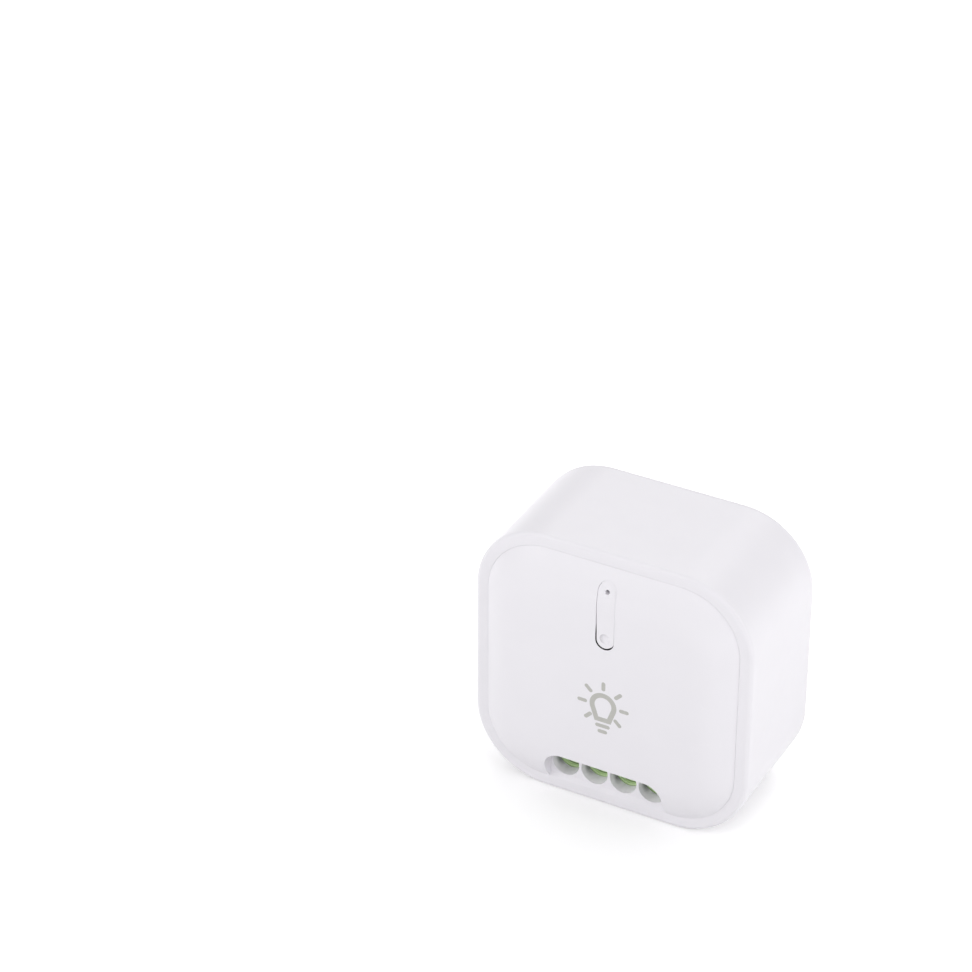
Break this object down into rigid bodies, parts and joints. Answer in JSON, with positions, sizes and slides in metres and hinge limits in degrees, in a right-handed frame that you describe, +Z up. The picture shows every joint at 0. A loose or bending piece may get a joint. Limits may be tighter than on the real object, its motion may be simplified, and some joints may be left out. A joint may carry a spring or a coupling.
{
  "type": "wireless switch module",
  "caption": "Small square switch module with a pillow-shaped white cover, a rocking key, a lamp sign and wire entries over a green screw terminal.",
  "frame": {"origin": "middle of the foot of the bounding box, under the module as it stands in the picture", "axes": "+X to the right of the front, +Y from the front to the back, +Z up"},
  "size_m": [0.047, 0.0258, 0.047],
  "materials": {
    "white_plastic": "satin white moulding",
    "clear_plastic": "clear moulding",
    "lamp_resin": "clear resin over a yellow lamp",
    "switch_black": "black moulding",
    "plunger_black": "black moulding",
    "board_laminate": "green solder mask",
    "green_plastic": "green moulding",
    "nickel_plate": "nickel-plated brass",
    "zinc_steel": "zinc-plated steel",
    "relay_case": "blue case",
    "film_case": "yellow case",
    "varistor_coat": "blue epoxy coat",
    "fuse_coat": "grey-green coat",
    "ferrite": "grey-black ferrite",
    "coil_tape": "yellow tape over copper",
    "can_sleeve": "dark sleeve over an aluminium can",
    "chip_black": "black moulded chip",
    "crystal_can": "tinned steel can",
    "antenna_sleeve": "insulated wire"
  },
  "bodies": {
    "module": {"housing": "white_plastic", "front_cover": "white_plastic", "light_pipe": "clear_plastic", "status_led": "lamp_resin", "switch_body": "switch_black", "main_board": "board_laminate", "radio_board": "board_laminate", "terminal_block": "green_plastic", "clamp_cages": "nickel_plate", "relay": "relay_case", "film_capacitor": "film_case", "varistor": "varistor_coat", "fuse_resistor": "fuse_coat", "transformer_core": "ferrite", "choke": "ferrite", "transformer_coil": "coil_tape", "bulk_capacitor": "can_sleeve", "output_capacitor": "can_sleeve", "rectifier": "chip_black", "controller_chip": "chip_black", "radio_chip": "chip_black", "crystal": "crystal_can", "antenna_wire": "antenna_sleeve"},
    "key": {"button_key": "white_plastic"},
    "plunger": {"switch_plunger": "plunger_black"},
    "plate_1": {"pressure_plate_1": "zinc_steel"},
    "screw_1": {"terminal_screw_1": "zinc_steel"},
    "plate_2": {"pressure_plate_2": "zinc_steel"},
    "screw_2": {"terminal_screw_2": "zinc_steel"},
    "plate_3": {"pressure_plate_3": "zinc_steel"},
    "screw_3": {"terminal_screw_3": "zinc_steel"},
    "plate_4": {"pressure_plate_4": "zinc_steel"},
    "screw_4": {"terminal_screw_4": "zinc_steel"}
  },
  "joints": [
    {"name": "key_press", "type": "hinge", "parent": "module", "child": "key", "pos_m": [0, -0.0092, 0.04141], "axis": [1, 0, 0], "range_deg": [0, 2.51], "stiffness_Nm_per_rad": 0.3},
    {"name": "plunger_travel", "type": "slide", "parent": "module", "child": "plunger", "axis": [0, 1, 0], "range_m": [0, 0.0003582]},
    {"name": "clamp_1", "type": "slide", "parent": "module", "child": "plate_1", "axis": [0, 0, 1], "range_m": [0, 0.0015]},
    {"name": "screw_turn_1", "type": "hinge", "parent": "plate_1", "child": "screw_1", "pos_m": [-0.0075, -0.0025, 0.003], "axis": [0, 0, 1], "range_deg": [0, 1201]},
    {"name": "clamp_2", "type": "slide", "parent": "module", "child": "plate_2", "axis": [0, 0, 1], "range_m": [0, 0.0015]},
    {"name": "screw_turn_2", "type": "hinge", "parent": "plate_2", "child": "screw_2", "pos_m": [-0.0025, -0.0025, 0.003], "axis": [0, 0, 1], "range_deg": [0, 1201]},
    {"name": "clamp_3", "type": "slide", "parent": "module", "child": "plate_3", "axis": [0, 0, 1], "range_m": [0, 0.0015]},
    {"name": "screw_turn_3", "type": "hinge", "parent": "plate_3", "child": "screw_3", "pos_m": [0.0025, -0.0025, 0.003], "axis": [0, 0, 1], "range_deg": [0, 1201]},
    {"name": "clamp_4", "type": "slide", "parent": "module", "child": "plate_4", "axis": [0, 0, 1], "range_m": [0, 0.0015]},
    {"name": "screw_turn_4", "type": "hinge", "parent": "plate_4", "child": "screw_4", "pos_m": [0.0075, -0.0025, 0.003], "axis": [0, 0, 1], "range_deg": [0, 1201]}
  ],
  "couplings": [
    {"joint": "key_press", "follows": "plunger_travel", "rad_per_m": 121.8},
    {"joint": "screw_turn_1", "follows": "clamp_1", "rad_per_m": 13963},
    {"joint": "screw_turn_2", "follows": "clamp_2", "rad_per_m": 13963},
    {"joint": "screw_turn_3", "follows": "clamp_3", "rad_per_m": 13963},
    {"joint": "screw_turn_4", "follows": "clamp_4", "rad_per_m": 13963}
  ]
}
